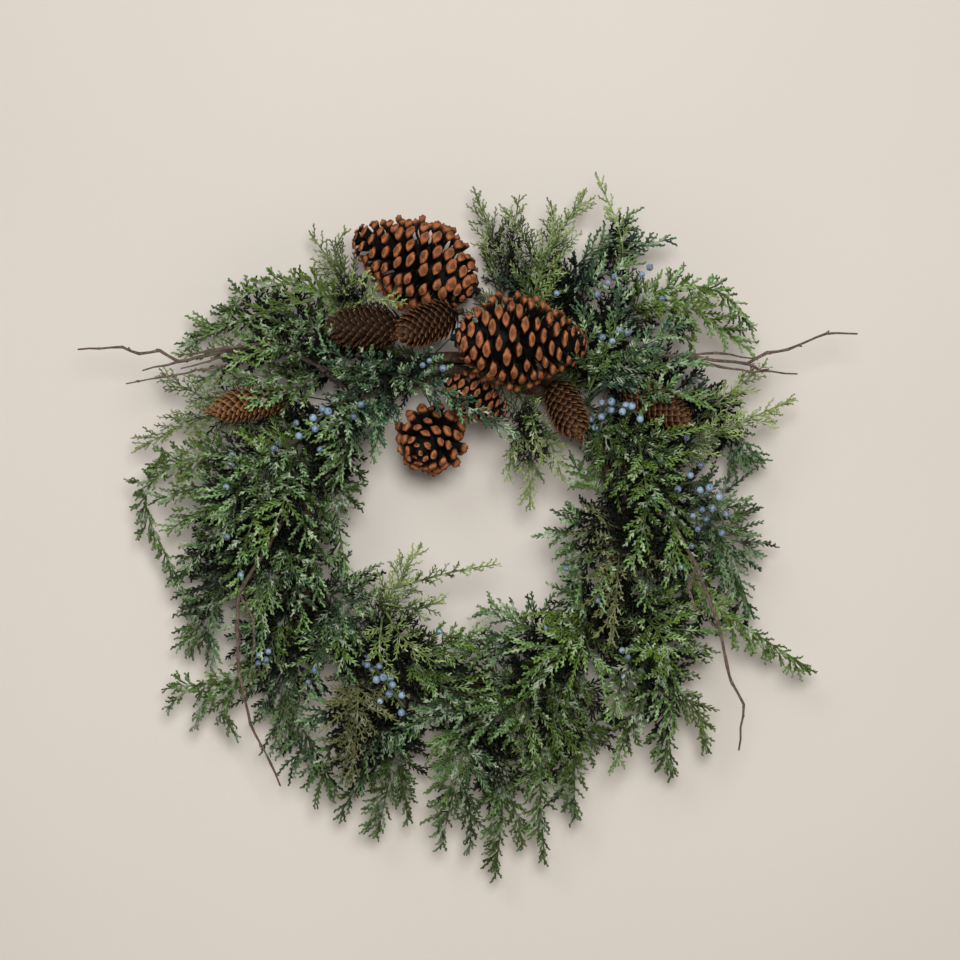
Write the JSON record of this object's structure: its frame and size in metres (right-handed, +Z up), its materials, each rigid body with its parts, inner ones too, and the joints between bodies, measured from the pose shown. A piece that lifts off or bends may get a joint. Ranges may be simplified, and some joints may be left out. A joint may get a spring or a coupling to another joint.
{
  "type": "fresh evergreen wreath",
  "caption": "Round hanging wreath of mixed evergreen sprays, pine and spruce cones, juniper berries and bare twigs, bound with wire onto a ring of twisted vine.",
  "frame": {"origin": "the hanging point: the underside of the vine ring's top, where it rests on a nail or hook, 25 mm in front of the wall", "axes": "+Z up, +X to the right as the wreath is seen from the front, +Y towards the wall; the front faces -Y and the wall is the plane y = 0.025"},
  "size_m": [0.698, 0.151, 0.641],
  "materials": {
    "vine_bark": "rough peeling grapevine bark",
    "green_wire": "satin green paint",
    "pine_cone_scale": "dry woody scales, matt with a waxy edge",
    "spruce_cone_scale": "thin papery scales, matt",
    "twig_bark": "fine dull bark",
    "juniper_berry": "waxy bloom, satin",
    "dark_cedar": "fresh scale leaves, dull green",
    "light_juniper": "fresh needles, dull light green",
    "olive_arborvitae": "fresh scale leaves, olive yellow"
  },
  "bodies": {
    "root": {"berries_low_left": "juniper_berry", "berries_right": "juniper_berry", "berries_top_left": "juniper_berry", "berries_top_right": "juniper_berry", "binding_wire": "green_wire", "cedar_arch_right": "dark_cedar", "cedar_bottom_face": "dark_cedar", "cedar_bottom_left_face": "dark_cedar", "cedar_bottom_left_point": "dark_cedar", "cedar_bottom_middle": "dark_cedar", "cedar_bottom_point": "dark_cedar", "cedar_bottom_right_edge": "dark_cedar", "cedar_bottom_right_point": "dark_cedar", "cedar_inner_bottom": "dark_cedar", "cedar_inner_left": "dark_cedar", "cedar_inner_low": "dark_cedar", "cedar_inner_top_left": "dark_cedar", "cedar_left_arch": "dark_cedar", "cedar_left_face": "dark_cedar", "cedar_left_high": "dark_cedar", "cedar_left_inner": "dark_cedar", "cedar_left_low_edge": "dark_cedar", "cedar_left_point": "dark_cedar", "cedar_low_left_edge": "dark_cedar", "cedar_low_right_edge": "dark_cedar", "cedar_low_right_face": "dark_cedar", "cedar_low_right_inner": "dark_cedar", "cedar_right_edge": "dark_cedar", "cedar_right_face": "dark_cedar", "cedar_right_high": "dark_cedar", "cedar_right_inner": "dark_cedar", "cedar_right_point": "dark_cedar", "cedar_top_right": "dark_cedar", "cedar_upper_left_arch": "dark_cedar", "cedar_upper_left_edge": "dark_cedar", "fan_low_left": "olive_arborvitae", "fan_right": "olive_arborvitae", "needle_hanging": "light_juniper", "needle_inner_bottom": "light_juniper", "needle_left": "light_juniper", "needle_right": "light_juniper", "needle_top_a": "light_juniper", "needle_top_b": "light_juniper", "needle_top_left": "light_juniper", "needle_top_tip": "light_juniper", "pine_cone_centre": "pine_cone_scale", "pine_cone_low": "pine_cone_scale", "pine_cone_top_left": "pine_cone_scale", "pine_cone_tucked": "pine_cone_scale", "spruce_cone_beside_centre": "spruce_cone_scale", "spruce_cone_far_left": "spruce_cone_scale", "spruce_cone_inner_right": "spruce_cone_scale", "spruce_cone_left": "spruce_cone_scale", "spruce_cone_right": "spruce_cone_scale", "spruce_cone_top_right": "spruce_cone_scale", "twig_left": "twig_bark", "twig_low_left": "twig_bark", "twig_low_right": "twig_bark", "twig_right": "twig_bark", "vine": "vine_bark"}
  },
  "joints": []
}
